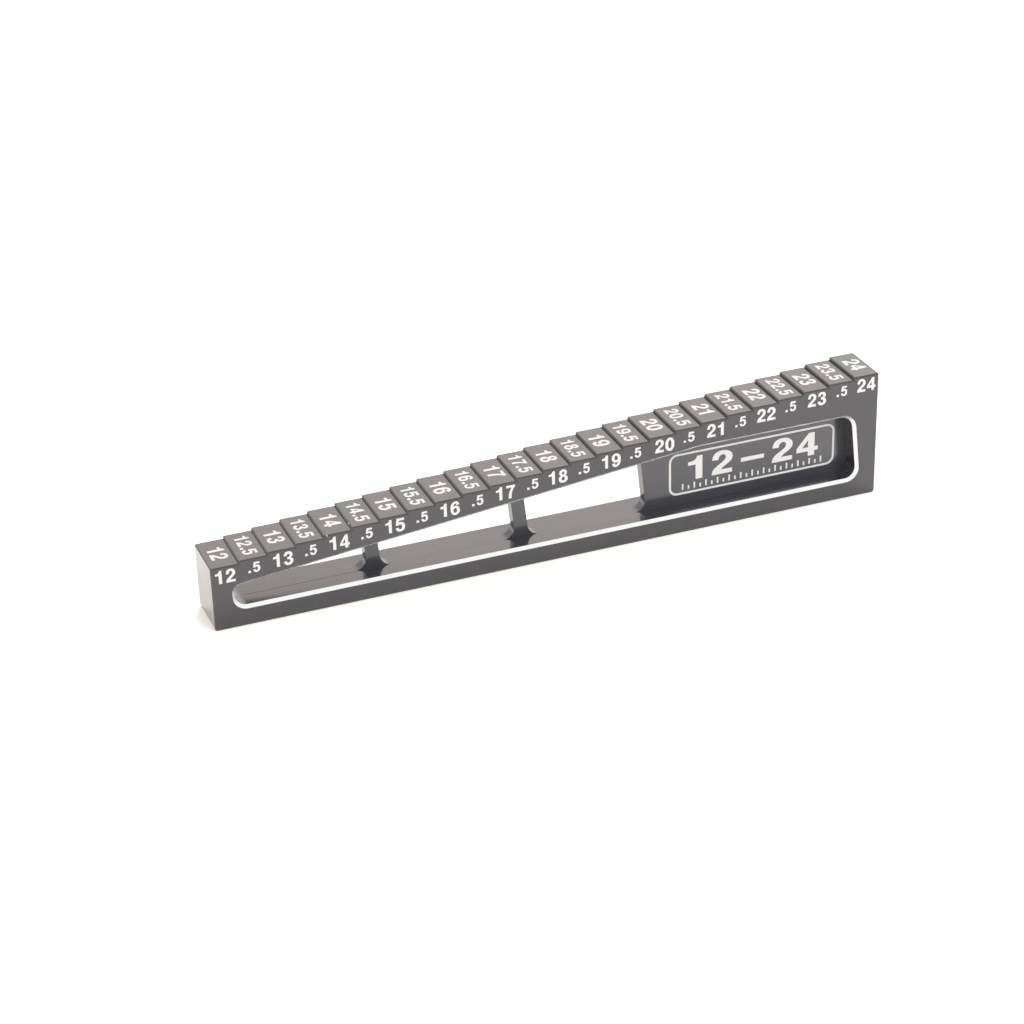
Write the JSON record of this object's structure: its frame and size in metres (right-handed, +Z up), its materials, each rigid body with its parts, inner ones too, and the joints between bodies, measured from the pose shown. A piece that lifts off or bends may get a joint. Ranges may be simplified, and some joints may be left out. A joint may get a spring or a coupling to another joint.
{
  "type": "ride height gauge",
  "caption": "Stepped aluminium bar for reading a vehicle's ground clearance: a rising stair of numbered steps over a chamfered window with a thin web.",
  "frame": {"origin": "middle of the flat base", "axes": "+X from the low end to the high end, +Y from the numbered front to the back through the thickness, +Z up from the base"},
  "size_m": [0.125, 0.01, 0.024],
  "materials": {
    "black_anodised": "black anodised, fine blasted"
  },
  "bodies": {
    "root": {"gauge_body": "black_anodised"}
  },
  "joints": []
}
